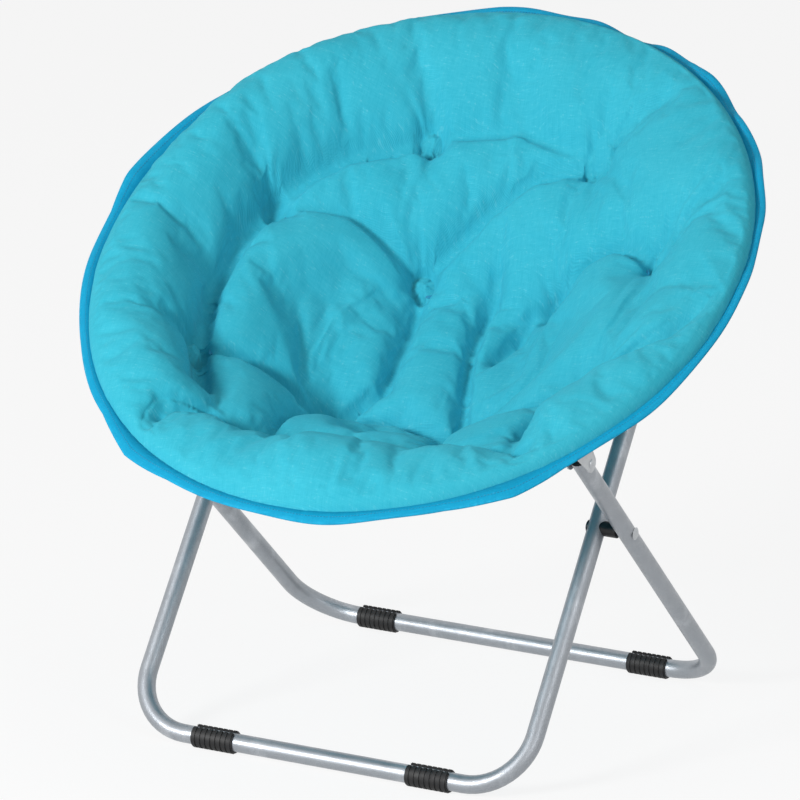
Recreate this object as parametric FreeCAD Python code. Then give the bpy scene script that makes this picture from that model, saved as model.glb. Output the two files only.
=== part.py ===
import FreeCAD, Part
import math
import os

# Folding saucer chair: two crossed tube leg frames, a ring in two halves and a tufted padded seat.

Vec = FreeCAD.Vector
ALONG_X = Vec(1, 0, 0)
UP = Vec(0, 0, 1)
FULL_TURN = 360

# Leg frames: both cross at the leg pivot; the base bars' places are measured from it.
leg_tube_diameter = 22.0
leg_tube_wall = 1.5
leg_bend_radius = 72.0
leg_pivot_y = -36.1
leg_pivot_height = 281.0
front_base_offset = -202.5
rear_base_offset = 294.5
front_base_half_width = 258.6
front_top_half_width = 252.0
rear_base_half_width = 284.3
rear_top_half_width = 300.0
front_pin_reach = 527.0
rear_pin_reach = 181.4
leg_end_past_pin = 11.0

# Feet clipped round the base bars.
foot_wall = 3.0
foot_sole_flat = 0.5
front_foot_x = 143.0
rear_foot_x = 187.0
front_foot_length = 55.0
rear_foot_length = 52.0
foot_rib_count = 8
foot_rib_depth = 0.9
foot_rib_share = 0.6
foot_slot_width = 9.0

# End plugs, spacers and rivets.
plug_dome_height = 3.5
plug_spigot_length = 6.5
spacer_diameter = 18.0
pivot_rivet_diameter = 8.0
bracket_pin_diameter = 6.0
ring_rivet_diameter = 5.0
ring_rivet_reach = 3.6
hinge_pin_diameter = 6.0
rivet_head_ratio = 1.9
rivet_head_height = 2.6

# Seat ring, carried on the legs' top pins and drawn in its own frame: X across, Y up the slope, Z square to it.
ring_radius = 392.0
ring_tube_diameter = 19.0
ring_tube_wall = 1.2
front_pin_drop = 47.86
rear_pin_drop = 35.24
front_pin_offset = -231.01

# Clevis brackets under the ring.
bracket_thickness = 2.0
bracket_eye_radius = 10.5
bracket_web_margin = 9.0
bracket_rivet_edge = 4.5

# Ring hinges, one on each side.
hinge_offset = -80.0
hinge_setback = 36.0
hinge_collar_length = 4.0
hinge_collar_half_height = 8.5
hinge_spigot_length = 20.0
hinge_tongue_thickness = 8.0
hinge_tongue_half_height = 8.0
hinge_ear_thickness = 2.5
hinge_ear_overrun = 14.0
hinge_web_thickness = 2.0

# Padded seat: a sheared dish with an outer roll, a ring of puffs and a central puff.
pad_edge_margin = 12.0
pad_edge_half_height = 3.0
pad_sleeve_wall = 3.5
roll_crown_radius = 350.0
roll_crown_height = 28.0
outer_tuft_radius = 275.0
outer_tuft_depth = 50.0
outer_tuft_count = 8
inner_tuft_radius = 137.0
inner_tuft_depth = 150.0
inner_tuft_count = 4
puff_rise = 18.0
centre_puff_rise = 12.0
underside_centre_depth = 205.0
underside_shoulder_radius = 150.0
underside_shoulder_depth = 188.0
underside_bulge = 12.0
sleeve_inner_radius = 372.0
sleeve_inner_depth = 16.0
dish_shear = 0.35
tuft_dimple_radius = 26.0
tuft_dimple_sink = 9.0
outer_dimple_lean = 0.5
inner_dimple_lean = 0.3
channel_half_width = 13.0
channel_depth = 34.0
channel_sink = 3.0
tack_length = 12.0
tack_diameter = 3.0
under_panel_thickness = 2.0
under_panel_drop = 0.3
binding_width = 12.4
binding_thickness = 4.0

# Clearances.
press_gap = 0.05
running_gap = 0.06
slide_gap = 0.4
seat_gap = 0.3
fold_gap = 0.6
pocket_gap = 1.2
plug_gap = 0.1

leg_radius = leg_tube_diameter / 2
ring_tube_radius = ring_tube_diameter / 2
foot_radius = leg_radius + foot_wall
base_bar_height = foot_radius - foot_sole_flat
hinge_x = math.sqrt(ring_radius ** 2 - hinge_offset ** 2)
SIDES = (("left", 1), ("right", -1))


class LegFrame:
    """A U frame of bent tube, in its own plane: X across, Z up the leg, the leg pivot at zero."""

    def __init__(self, name, base_offset, base_half_width, top_half_width, pin_reach):
        self.name = name
        self.base_half_width = base_half_width
        self.top_half_width = top_half_width
        self.pin_reach = pin_reach
        rise = leg_pivot_height - base_bar_height
        lean = math.degrees(math.atan2(base_offset, rise))
        self.base_y = leg_pivot_y + base_offset
        self.base_reach = math.hypot(base_offset, rise)
        self.place = FreeCAD.Placement(Vec(0, leg_pivot_y, leg_pivot_height),
                                       FreeCAD.Rotation(ALONG_X, lean))
        self.splay = (top_half_width - base_half_width) / (pin_reach + self.base_reach)
        self.end_reach = pin_reach + leg_end_past_pin

    def half_width(self, reach):
        return self.base_half_width + self.splay * (reach + self.base_reach)

    def point(self, sign, reach):
        return Vec(sign * self.half_width(reach), 0, reach)

    def world_point(self, sign, reach):
        return self.place.multVec(self.point(sign, reach))


front_leg = LegFrame("front_leg", front_base_offset, front_base_half_width, front_top_half_width,
                     front_pin_reach)
rear_leg = LegFrame("rear_leg", rear_base_offset, rear_base_half_width, rear_top_half_width,
                    rear_pin_reach)


def ring_placement():
    """The ring's frame: both top pins hang their own drop below its plane."""
    low = rear_leg.world_point(1, rear_leg.pin_reach)
    high = front_leg.world_point(1, front_leg.pin_reach)
    rise, run = high.z - low.z, high.y - low.y
    tilt = math.atan2(rise, run) - math.asin((front_pin_drop - rear_pin_drop) / math.hypot(rise, run))
    turn = FreeCAD.Rotation(ALONG_X, math.degrees(tilt))
    centre = Vec(0, low.y, low.z) - turn.multVec(Vec(0, front_pin_offset, -front_pin_drop))
    return FreeCAD.Placement(centre, turn)


ring_place = ring_placement()


def save(name, shape):
    shape.exportStep("parts/" + name + ".step")


def placed(shape, place):
    result = shape.copy()
    result.Placement = place.multiply(result.Placement)
    return result


def group(shapes):
    return Part.makeCompound(shapes)


def cylinder_along_x(radius, start, length):
    """A cylinder from start along X; a negative length runs the other way."""
    return Part.makeCylinder(radius, abs(length), start, ALONG_X if length > 0 else ALONG_X * -1)


def box_between(low, high):
    return Part.makeBox(high.x - low.x, high.y - low.y, high.z - low.z, low)


def line(start, end):
    return Part.LineSegment(start, end).toShape()


def turned(edges):
    """A closed outline in the X-Z plane turned about Z."""
    face = Part.Face(Part.Wire(Part.sortEdges(edges)[0]))
    return face.revolve(Vec(0, 0, 0), UP, FULL_TURN)


def dome_arc(axis_point, edge_point):
    """An arc that leaves the axis square to it and ends at edge_point."""
    rise = edge_point.z - axis_point.z
    radius = (edge_point.x ** 2 + rise ** 2) / (2 * rise)
    x = edge_point.x / 2
    lift = radius - math.copysign(math.sqrt(radius ** 2 - x ** 2), radius)
    return Part.Arc(axis_point, Vec(x, 0, axis_point.z + lift), edge_point).toShape()


def rounded_path(points, radius):
    """Straight runs through the points, with a tangent arc at each inner point."""
    edges = []
    start = points[0]
    for before, corner, after in zip(points, points[1:], points[2:]):
        back = (before - corner).normalize()
        ahead = (after - corner).normalize()
        half_angle = back.getAngle(ahead) / 2
        cut = radius / math.tan(half_angle)
        middle = (back + ahead).normalize()
        arc_point = corner + middle * (radius / math.sin(half_angle) - radius)
        edges.append(line(start, corner + back * cut))
        edges.append(Part.Arc(corner + back * cut, arc_point, corner + ahead * cut).toShape())
        start = corner + ahead * cut
    edges.append(line(start, points[-1]))
    return Part.Wire(edges)


def swept_rod(path, radius):
    start = path.Edges[0].valueAt(path.Edges[0].FirstParameter)
    heading = path.Edges[0].tangentAt(path.Edges[0].FirstParameter)
    ring = Part.Wire([Part.Circle(start, heading, radius).toShape()])
    return path.makePipeShell([ring], True, False)


def rivet_head(radius, centre, sign):
    """A low domed head whose flat face is at centre and whose dome points along X by sign."""
    head_radius = radius * rivet_head_ratio
    sphere_radius = (head_radius ** 2 + rivet_head_height ** 2) / (2 * rivet_head_height)
    ball = Part.makeSphere(sphere_radius, centre + ALONG_X * (sign * (rivet_head_height - sphere_radius)))
    return ball.common(cylinder_along_x(head_radius, centre, sign * rivet_head_height))


def rivet_along_x(radius, inner, outer, sign):
    """A rivet from the inner face to the outer face, both given as points on its axis."""
    shank = cylinder_along_x(radius, inner, outer.x - inner.x)
    return shank.fuse([rivet_head(radius, inner, -sign), rivet_head(radius, outer, sign)]).removeSplitter()


def leg_tube(frame):
    """The bent U tube, drilled for the leg pivot and for the bracket pins at its tops."""
    path = rounded_path([frame.point(1, frame.end_reach), frame.point(1, -frame.base_reach),
                         frame.point(-1, -frame.base_reach), frame.point(-1, frame.end_reach)],
                        leg_bend_radius)
    tube = swept_rod(path, leg_radius).cut(swept_rod(path, leg_radius - leg_tube_wall))
    for sign in (1, -1):
        for reach, diameter in ((0, pivot_rivet_diameter), (frame.pin_reach, bracket_pin_diameter)):
            centre = frame.point(sign, reach) - ALONG_X * (sign * leg_tube_diameter)
            hole = cylinder_along_x(diameter / 2 + running_gap, centre, sign * 2 * leg_tube_diameter)
            tube = tube.cut(hole)
    return placed(tube, frame.place)


def foot(centre_x, base_y, length):
    """A ribbed clip round the base bar, open along its top and flat along its sole."""
    inner = leg_radius + plug_gap
    groove_radius = foot_radius - foot_rib_depth
    centre = Vec(centre_x, base_y, base_bar_height)
    sleeve = cylinder_along_x(groove_radius, centre - ALONG_X * (length / 2), length)
    pitch = length / foot_rib_count
    rib_length = pitch * foot_rib_share
    first_rib = centre - ALONG_X * ((length - pitch + rib_length) / 2)
    ribs = [cylinder_along_x(foot_radius, first_rib + ALONG_X * (pitch * i), rib_length)
            for i in range(foot_rib_count)]
    body = sleeve.fuse(ribs).cut(cylinder_along_x(inner, centre - ALONG_X * length, 2 * length))
    slot = box_between(centre + Vec(-length, -foot_slot_width / 2, 0),
                       centre + Vec(length, foot_slot_width / 2, 2 * foot_radius))
    sole = box_between(Vec(centre_x - length, base_y - foot_radius, -foot_radius),
                       Vec(centre_x + length, base_y + foot_radius, 0))
    return body.cut(slot).cut(sole)


def leg_plug(frame, sign):
    """The domed plug in the open top end of an upright."""
    axis = (frame.point(sign, frame.end_reach) - frame.point(sign, 0)).normalize()
    bore = leg_radius - leg_tube_wall - plug_gap
    top = Vec(0, 0, plug_dome_height)
    foot_end = Vec(0, 0, -plug_spigot_length)
    outline = [dome_arc(top, Vec(leg_radius, 0, 0)), line(Vec(leg_radius, 0, 0), Vec(bore, 0, 0)),
               line(Vec(bore, 0, 0), Vec(bore, 0, -plug_spigot_length)),
               line(Vec(bore, 0, -plug_spigot_length), foot_end), line(foot_end, top)]
    stand = FreeCAD.Placement(frame.point(sign, frame.end_reach), FreeCAD.Rotation(UP, axis))
    return placed(placed(turned(outline), stand), frame.place)


def leg_spacer(sign):
    """The sleeve between the two uprights; it saddles the inner tube and runs beside the outer one."""
    inner = front_leg.half_width(0)
    outer = rear_leg.half_width(0) - leg_radius - slide_gap - abs(rear_leg.splay) * spacer_diameter / 2
    centre = Vec(sign * inner, leg_pivot_y, leg_pivot_height)
    sleeve = cylinder_along_x(spacer_diameter / 2, centre, sign * (outer - inner))
    upright = Part.makeCylinder(leg_radius + press_gap, 2 * leg_tube_diameter,
                                front_leg.point(sign, -leg_tube_diameter),
                                front_leg.point(sign, 1) - front_leg.point(sign, 0))
    bore = cylinder_along_x(pivot_rivet_diameter / 2 + press_gap, centre, sign * outer)
    return sleeve.cut(placed(upright, front_leg.place)).cut(bore)


def pivot_rivet(sign):
    """The rivet through both uprights and the spacer."""
    inner = front_leg.half_width(0) - leg_radius - press_gap
    outer = rear_leg.half_width(0) + leg_radius + slide_gap
    return rivet_along_x(pivot_rivet_diameter / 2, Vec(sign * inner, leg_pivot_y, leg_pivot_height),
                         Vec(sign * outer, leg_pivot_y, leg_pivot_height), sign)


def on_ring(x, slope_side):
    """The Y of the ring's centre line at X, on its upper (1) or lower (-1) side."""
    return slope_side * math.sqrt(ring_radius ** 2 - x ** 2)


class Bracket:
    """Where a clevis bracket hangs under the ring and holds a leg frame's top pin."""

    def __init__(self, frame, slope_side):
        pin = ring_place.inverse().multVec(frame.world_point(1, frame.pin_reach))
        self.pin = pin
        self.rivet_y = on_ring(pin.x, slope_side)
        self.web_top = -ring_tube_radius - press_gap
        self.web_low_y = min(self.rivet_y - bracket_rivet_edge, pin.y - bracket_web_margin)
        self.web_high_y = max(self.rivet_y + bracket_rivet_edge, pin.y + bracket_web_margin)
        self.half_gap = leg_radius + slide_gap + abs(frame.splay) * 2 * bracket_eye_radius
        self.half_width = self.half_gap + bracket_thickness


front_bracket = Bracket(rear_leg, -1)
rear_bracket = Bracket(front_leg, 1)


def bracket_ear(bracket, low_x):
    """One ear: a tapered plate from the web down to a round eye at the pin."""
    pin = bracket.pin
    corners = [Vec(low_x, bracket.web_low_y, bracket.web_top),
               Vec(low_x, bracket.web_high_y, bracket.web_top),
               Vec(low_x, pin.y + bracket_eye_radius, pin.z),
               Vec(low_x, pin.y - bracket_eye_radius, pin.z)]
    plate = Part.Face(Part.makePolygon(corners + corners[:1])).extrude(ALONG_X * bracket_thickness)
    eye_start = Vec(low_x, pin.y, pin.z)
    eye = cylinder_along_x(bracket_eye_radius, eye_start, bracket_thickness)
    hole = cylinder_along_x(bracket_pin_diameter / 2 + press_gap, eye_start, bracket_thickness)
    return plate.fuse(eye).removeSplitter().cut(hole)


def ring_bracket(bracket, sign):
    """The pressed clevis: a web riveted under the ring tube and two ears that flank the leg."""
    centre_x = bracket.pin.x
    web_low = bracket.web_top - bracket_thickness
    web = box_between(Vec(centre_x - bracket.half_width, bracket.web_low_y, web_low),
                      Vec(centre_x + bracket.half_width, bracket.web_high_y, bracket.web_top))
    ears = [bracket_ear(bracket, centre_x - bracket.half_width),
            bracket_ear(bracket, centre_x + bracket.half_gap)]
    hole = Part.makeCylinder(ring_rivet_diameter / 2 + press_gap, ring_tube_diameter,
                             Vec(centre_x, bracket.rivet_y, bracket.web_top - ring_tube_diameter))
    shape = web.fuse(ears).removeSplitter().cut(hole)
    return ring_piece(shape, sign)


def ring_piece(shape, sign=1):
    """A piece drawn in the ring's frame on the left side, set in place on the left or right."""
    if sign < 0:
        shape = shape.mirror(Vec(0, 0, 0), ALONG_X)
    return placed(shape, ring_place)


def bracket_pin(bracket, sign):
    """The rivet through both ears and the leg between them."""
    reach = bracket.half_width + press_gap
    pin = rivet_along_x(bracket_pin_diameter / 2, bracket.pin - ALONG_X * reach,
                        bracket.pin + ALONG_X * reach, 1)
    return ring_piece(pin, sign)


def bracket_pin_ends(bracket, sign):
    """The two headed ends of the pin that is left open: they fill the ears and stop short of the leg."""
    radius = bracket_pin_diameter / 2
    outer = bracket.pin + ALONG_X * (bracket.half_width + press_gap)
    stub = cylinder_along_x(radius, outer, -bracket_thickness - press_gap)
    end = stub.fuse(rivet_head(radius, outer, 1)).removeSplitter()
    return ring_piece(group([end, end.mirror(bracket.pin, ALONG_X)]), sign)


def ring_rivets(bracket):
    """The pair of rivets that hold the left and right bracket webs to the ring tube."""
    radius = ring_rivet_diameter / 2
    base = Vec(bracket.pin.x, bracket.rivet_y, bracket.web_top - bracket_thickness - press_gap)
    length = bracket_thickness + 2 * press_gap + ring_rivet_reach
    shank = Part.makeCylinder(radius, length, base)
    head = Part.makeCone(radius, radius * rivet_head_ratio, rivet_head_height / 2,
                         base - Vec(0, 0, rivet_head_height / 2))
    rivet = shank.fuse(head).removeSplitter()
    return group([ring_piece(rivet, 1), ring_piece(rivet, -1)])


def slab(low_y, high_y):
    """A block wider than the ring that spans the given stretch of the slope."""
    reach = 2 * ring_radius
    return box_between(Vec(-reach, low_y, -reach), Vec(reach, high_y, reach))


def half_slab(half, gap):
    """The rear or front side of the hinge line, set back from it by the gap."""
    if half == "rear":
        return slab(hinge_offset + gap, 2 * ring_radius)
    return slab(-2 * ring_radius, hinge_offset - gap)


def ring_tube(half, bracket):
    """Half of the ring's tube, open at its hinge ends and drilled for the bracket rivets."""
    tube = Part.makeTorus(ring_radius, ring_tube_radius)
    tube = tube.cut(Part.makeTorus(ring_radius, ring_tube_radius - ring_tube_wall))
    tube = tube.common(half_slab(half, hinge_setback))
    for sign in (1, -1):
        hole = Part.makeCylinder(ring_rivet_diameter / 2 + press_gap, ring_tube_diameter,
                                 Vec(sign * bracket.pin.x, bracket.rivet_y, -ring_tube_diameter))
        tube = tube.cut(hole)
    return ring_piece(tube)


def hinge_root(direction, low_x, high_x):
    """The spigot in the tube's bore and the collar that closes its end; direction is up or down the slope."""
    bore = ring_tube_radius - ring_tube_wall - plug_gap
    near = hinge_offset + direction * hinge_setback
    far = near + direction * hinge_spigot_length
    stretch = box_between(Vec(0, min(near, far), -ring_radius),
                          Vec(2 * ring_radius, max(near, far), ring_radius))
    spigot = Part.makeTorus(ring_radius, bore).common(stretch)
    end_x = on_hinge_side(near)
    face = hinge_offset + direction * (hinge_setback - hinge_collar_length)
    low_corner = Vec(min(low_x, end_x - ring_tube_radius), min(near, face), -hinge_collar_half_height)
    high_corner = Vec(max(high_x, end_x + ring_tube_radius), max(near, face), hinge_collar_half_height)
    collar = box_between(low_corner, high_corner)
    return spigot.fuse(collar)


def on_hinge_side(y):
    """The X of the ring's centre line at Y, on the left."""
    return math.sqrt(ring_radius ** 2 - y ** 2)


def within_ring(shape):
    """The shape trimmed to the ring tube's outer line."""
    outer_line = Part.makeCylinder(ring_radius + ring_tube_radius, 2 * ring_radius, Vec(0, 0, -ring_radius))
    return shape.common(outer_line)


def hinge_clevis(sign):
    """The rear half's hinge end: two ears and a stop web under the tongue."""
    inner_half = hinge_tongue_thickness / 2 + seat_gap
    outer_half = inner_half + hinge_ear_thickness
    low_y = hinge_offset - hinge_ear_overrun
    high_y = hinge_offset + hinge_setback - hinge_collar_length
    web_top = -hinge_tongue_half_height - seat_gap
    body = box_between(Vec(hinge_x - outer_half, low_y, web_top - hinge_web_thickness),
                       Vec(hinge_x + outer_half, high_y, hinge_tongue_half_height))
    channel = box_between(Vec(hinge_x - inner_half, 2 * low_y, web_top),
                          Vec(hinge_x + inner_half, high_y, ring_tube_diameter))
    corner_cut = hinge_ear_overrun - hinge_tongue_half_height
    body = body.cut(channel)
    hole = cylinder_along_x(hinge_pin_diameter / 2 + press_gap, Vec(0, hinge_offset, 0), 2 * ring_radius)
    nose = [edge for edge in body.Edges
            if edge.BoundBox.YMax - low_y < press_gap
            and hinge_tongue_half_height - edge.BoundBox.ZMin < press_gap]
    body = body.makeChamfer(corner_cut, nose)
    root = hinge_root(1, hinge_x - outer_half, hinge_x + outer_half)
    return ring_piece(within_ring(body.fuse(root).removeSplitter()).cut(hole), sign)


def hinge_tongue(sign):
    """The front half's hinge end: one flat tongue with a round tip about the pin."""
    half = hinge_tongue_thickness / 2
    root_y = hinge_offset - hinge_setback + hinge_collar_length
    blade = box_between(Vec(hinge_x - half, root_y, -hinge_tongue_half_height),
                        Vec(hinge_x + half, hinge_offset, hinge_tongue_half_height))
    tip_start = Vec(hinge_x - half, hinge_offset, 0)
    tip = cylinder_along_x(hinge_tongue_half_height, tip_start, hinge_tongue_thickness)
    hole = cylinder_along_x(hinge_pin_diameter / 2 + running_gap, Vec(0, hinge_offset, 0), 2 * ring_radius)
    root = hinge_root(-1, hinge_x - half, hinge_x + half)
    return ring_piece(within_ring(blade.fuse([tip, root]).removeSplitter()).cut(hole), sign)


def hinge_pin(sign):
    reach = hinge_tongue_thickness / 2 + seat_gap + hinge_ear_thickness + press_gap
    pin = rivet_along_x(hinge_pin_diameter / 2, Vec(hinge_x - reach, hinge_offset, 0),
                        Vec(hinge_x + reach, hinge_offset, 0), 1)
    return ring_piece(pin, sign)


def arc_on_chord(start, end, rise):
    """An arc from start to end that bows out by rise, to the left of the way it runs."""
    chord = end - start
    side = Vec(-chord.z, 0, chord.x).normalize()
    return Part.Arc(start, (start + end) / 2 + side * rise, end).toShape()


def sheared_dish(edges):
    """A closed outline turned about the ring's axis, then sheared down the slope."""
    shear = FreeCAD.Matrix()
    shear.A23 = dish_shear
    return turned(edges).transformGeometry(shear)


def pad_edge_radius():
    return ring_radius + pad_edge_margin


def underside_edges(drop):
    """The dish's underside from the axis to the sleeve, lowered by drop."""
    centre = Vec(0, 0, -underside_centre_depth - drop)
    shoulder = Vec(underside_shoulder_radius, 0, -underside_shoulder_depth - drop)
    sleeve = Vec(sleeve_inner_radius, 0, -sleeve_inner_depth - drop)
    return [dome_arc(centre, shoulder), arc_on_chord(shoulder, sleeve, -underside_bulge)]


def pad_outline():
    """Half the seat's section: roll, puffs and central dome on top, dish and ring sleeve below."""
    edge = pad_edge_radius()
    rim_top = Vec(edge, 0, pad_edge_half_height)
    rim_low = Vec(edge, 0, -pad_edge_half_height)
    outer_tuft = Vec(outer_tuft_radius, 0, -outer_tuft_depth)
    inner_tuft = Vec(inner_tuft_radius, 0, -inner_tuft_depth)
    centre_top = Vec(0, 0, -inner_tuft_depth + centre_puff_rise)
    centre_low = Vec(0, 0, -underside_centre_depth)
    sleeve = Vec(sleeve_inner_radius, 0, -sleeve_inner_depth)
    sleeve_reach = ring_tube_radius + pad_sleeve_wall
    sleeve_low = Vec(ring_radius, 0, -sleeve_reach)
    sleeve_side = Vec(ring_radius + sleeve_reach * math.sin(math.pi / 4), 0,
                      -sleeve_reach * math.sin(math.pi / 4))
    top = [line(rim_low, rim_top),
           Part.Arc(rim_top, Vec(roll_crown_radius, 0, roll_crown_height), outer_tuft).toShape(),
           arc_on_chord(outer_tuft, inner_tuft, -puff_rise),
           dome_arc(centre_top, inner_tuft),
           line(centre_top, centre_low)]
    low = underside_edges(0) + [line(sleeve, sleeve_low),
                                Part.Arc(sleeve_low, sleeve_side, rim_low).toShape()]
    return top + low


def under_panel_outline():
    """Half the section of the cloth panel under the padding, a thin band along its underside."""
    upper = under_panel_drop
    lower = under_panel_drop + under_panel_thickness
    ends = [line(Vec(0, 0, -underside_centre_depth - upper), Vec(0, 0, -underside_centre_depth - lower)),
            line(Vec(sleeve_inner_radius, 0, -sleeve_inner_depth - upper),
                 Vec(sleeve_inner_radius, 0, -sleeve_inner_depth - lower))]
    return underside_edges(upper) + underside_edges(lower) + ends


def tuft_points(radius, depth, count):
    """The sewn points of one tuft ring, half a step round from the X axis, as the dish is sheared."""
    step = 2 * math.pi / count
    angles = [step * i + step / 2 for i in range(count)]
    return [Vec(radius * math.cos(angle), radius * math.sin(angle) - dish_shear * depth, -depth)
            for angle in angles]


def all_tufts():
    return (tuft_points(outer_tuft_radius, outer_tuft_depth, outer_tuft_count)
            + tuft_points(inner_tuft_radius, inner_tuft_depth, inner_tuft_count))


def inward_normal(point):
    """The direction in which a dimple at point opens: up, leaning towards the middle of the dish."""
    halfway = (inner_tuft_radius + outer_tuft_radius) / 2
    lean = outer_dimple_lean if math.hypot(point.x, point.y) > halfway else inner_dimple_lean
    flat = Vec(point.x, point.y, 0).normalize()
    return (UP - flat * lean).normalize()


def dimple_cutters():
    """Balls that press a dimple at each tuft."""
    lift = tuft_dimple_radius - tuft_dimple_sink
    return [Part.makeSphere(tuft_dimple_radius, point + inward_normal(point) * lift) for point in all_tufts()]


def channel_cutter(start, end):
    """A long wedge whose edge lies just under the line from start to end."""
    along = (end - start).normalize()
    across = along.cross(UP).normalize()
    up = across.cross(along)
    edge = start - up * channel_sink
    top = edge + up * channel_depth
    corners = [edge, top + across * channel_half_width, top - across * channel_half_width]
    return Part.Face(Part.makePolygon(corners + corners[:1])).extrude(end - start)


def channel_cutters():
    """The creases that run over the puffs from each inner tuft to the outer tufts on either side of it."""
    outer = tuft_points(outer_tuft_radius, outer_tuft_depth, outer_tuft_count)
    inner = tuft_points(inner_tuft_radius, inner_tuft_depth, inner_tuft_count)
    share = outer_tuft_count // inner_tuft_count
    cutters = []
    for index, start in enumerate(inner):
        for end in outer[index * share:(index + 1) * share]:
            cutters.append(channel_cutter(start, end))
    return cutters


def pocket_cutters(bracket):
    """The room for the ring tube, the brackets and the ring hinges in the seat's sleeve."""
    cutters = [Part.makeTorus(ring_radius, ring_tube_radius + seat_gap)]
    head = rivet_head_height + pocket_gap
    for sign in (1, -1):
        centre_x = sign * bracket.pin.x
        reach = bracket.half_width + head
        low_z = bracket.pin.z - 2 * bracket_eye_radius
        cutters.append(box_between(
            Vec(centre_x - reach, bracket.web_low_y - pocket_gap, low_z),
            Vec(centre_x + reach, bracket.web_high_y + pocket_gap, bracket.web_top + pocket_gap)))
        side_reach = ring_tube_diameter
        height = hinge_collar_half_height + hinge_web_thickness + pocket_gap
        cutters.append(box_between(
            Vec(sign * hinge_x - side_reach, hinge_offset - hinge_setback - pocket_gap, -height),
            Vec(sign * hinge_x + side_reach, hinge_offset + hinge_setback + pocket_gap, height)))
    return cutters


def seat_pad(half, bracket):
    """One half of the padded dish, sleeved on its half of the ring."""
    pad = sheared_dish(pad_outline()).common(half_slab(half, fold_gap))
    pad = pad.cut(dimple_cutters() + channel_cutters())
    return ring_piece(pad.cut(pocket_cutters(bracket)))


def seat_under_panel(half, bracket):
    panel = sheared_dish(under_panel_outline()).common(half_slab(half, fold_gap))
    return ring_piece(panel.cut(pocket_cutters(bracket)))


def seat_binding(half):
    """The bound edge that runs round the rim."""
    inner = pad_edge_radius() + press_gap
    outer = inner + binding_width
    half_height = binding_thickness / 2
    flat = outer - half_height
    corners = [Vec(inner, 0, -half_height), Vec(flat, 0, -half_height), Vec(outer, 0, 0),
               Vec(flat, 0, half_height), Vec(inner, 0, half_height)]
    edges = [line(corners[4], corners[0]),
             line(corners[0], corners[1]),
             Part.Arc(corners[1], corners[2], corners[3]).toShape(),
             line(corners[3], corners[4])]
    return ring_piece(sheared_dish(edges).common(half_slab(half, fold_gap)))


def tuft_tacks(half):
    """The short bars of thread sewn across the bottom of each dimple of one half."""
    side = 1 if half == "rear" else -1
    bow = tuft_dimple_radius - math.sqrt(tuft_dimple_radius ** 2 - (tack_length / 2) ** 2)
    lift = seat_gap + tack_diameter / 2 + bow
    tacks = []
    for point in all_tufts():
        if (point.y - hinge_offset) * side > 0:
            centre = point - inward_normal(point) * (tuft_dimple_sink - lift)
            across = Vec(-point.y, point.x, 0).normalize()
            start = centre - across * (tack_length / 2)
            tacks.append(Part.makeCylinder(tack_diameter / 2, tack_length, start, across))
    return ring_piece(group(tacks))


def build_leg_frame(frame, foot_x, foot_length):
    save(frame.name + "_tube", leg_tube(frame))
    for side, sign in SIDES:
        save(frame.name + "_foot_" + side, foot(sign * foot_x, frame.base_y, foot_length))
        save(frame.name + "_plug_" + side, leg_plug(frame, sign))


def build_ring_half(half, bracket):
    save("ring_" + half + "_tube", ring_tube(half, bracket))
    save(half + "_bracket_rivets", ring_rivets(bracket))
    for side, sign in SIDES:
        save(half + "_bracket_" + side, ring_bracket(bracket, sign))
    save("seat_pad_" + half, seat_pad(half, bracket))
    save("seat_under_panel_" + half, seat_under_panel(half, bracket))
    save("seat_binding_" + half, seat_binding(half))
    save("seat_tacks_" + half, tuft_tacks(half))


def main():
    os.makedirs("parts", exist_ok=True)
    build_leg_frame(front_leg, front_foot_x, front_foot_length)
    build_leg_frame(rear_leg, rear_foot_x, rear_foot_length)
    build_ring_half("front", front_bracket)
    build_ring_half("rear", rear_bracket)
    for side, sign in SIDES:
        save("leg_spacer_" + side, leg_spacer(sign))
        save("leg_pivot_rivet_" + side, pivot_rivet(sign))
        save("front_bracket_pin_" + side, bracket_pin(front_bracket, sign))
        save("rear_bracket_pin_" + side, bracket_pin_ends(rear_bracket, sign))
        save("hinge_tongue_" + side, hinge_tongue(sign))
        save("hinge_clevis_" + side, hinge_clevis(sign))
        save("hinge_pin_" + side, hinge_pin(sign))


main()
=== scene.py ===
import math
import random

import bmesh
import bpy
import numpy as np
from mathutils import Matrix, Vector, noise


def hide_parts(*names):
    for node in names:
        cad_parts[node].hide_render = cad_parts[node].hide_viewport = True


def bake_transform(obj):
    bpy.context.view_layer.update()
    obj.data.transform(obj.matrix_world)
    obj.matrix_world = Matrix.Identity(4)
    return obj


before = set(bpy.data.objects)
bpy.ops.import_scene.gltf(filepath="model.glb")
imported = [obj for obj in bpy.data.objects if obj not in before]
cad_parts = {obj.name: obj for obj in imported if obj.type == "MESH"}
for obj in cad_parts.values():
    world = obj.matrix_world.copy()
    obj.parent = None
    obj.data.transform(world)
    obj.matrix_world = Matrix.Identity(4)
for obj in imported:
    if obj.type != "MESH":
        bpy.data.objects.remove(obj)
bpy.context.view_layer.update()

# The ring's own frame: x across the seat, v up its slope, n square to it. The padding is drawn in the
# flat frame of an even dish, which hangs down the slope by dish["shear"] for each unit of depth.
dish = {
    "centre": (0, 0, .56615),
    "tilt": 32.06,          # degrees
    "shear": .35,
    "ringRadius": .392,
    "tubeRadius": .0095,
    "hingeLine": -.080,     # v of the fold across the seat
    "foldReach": .150,      # how far each side of the fold the cloth bends
}
tilt = math.radians(dish["tilt"])
ringCentre = Vector(dish["centre"])
ringUp = Vector((0, math.cos(tilt), math.sin(tilt)))
ringOut = Vector((0, -math.sin(tilt), math.cos(tilt)))


def inRing(x, v, n):
    return ringCentre + Vector((x, 0, 0)) + ringUp * v + ringOut * n


def inDish(x, y, z):
    return inRing(x, y + dish["shear"] * z, z)


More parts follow.
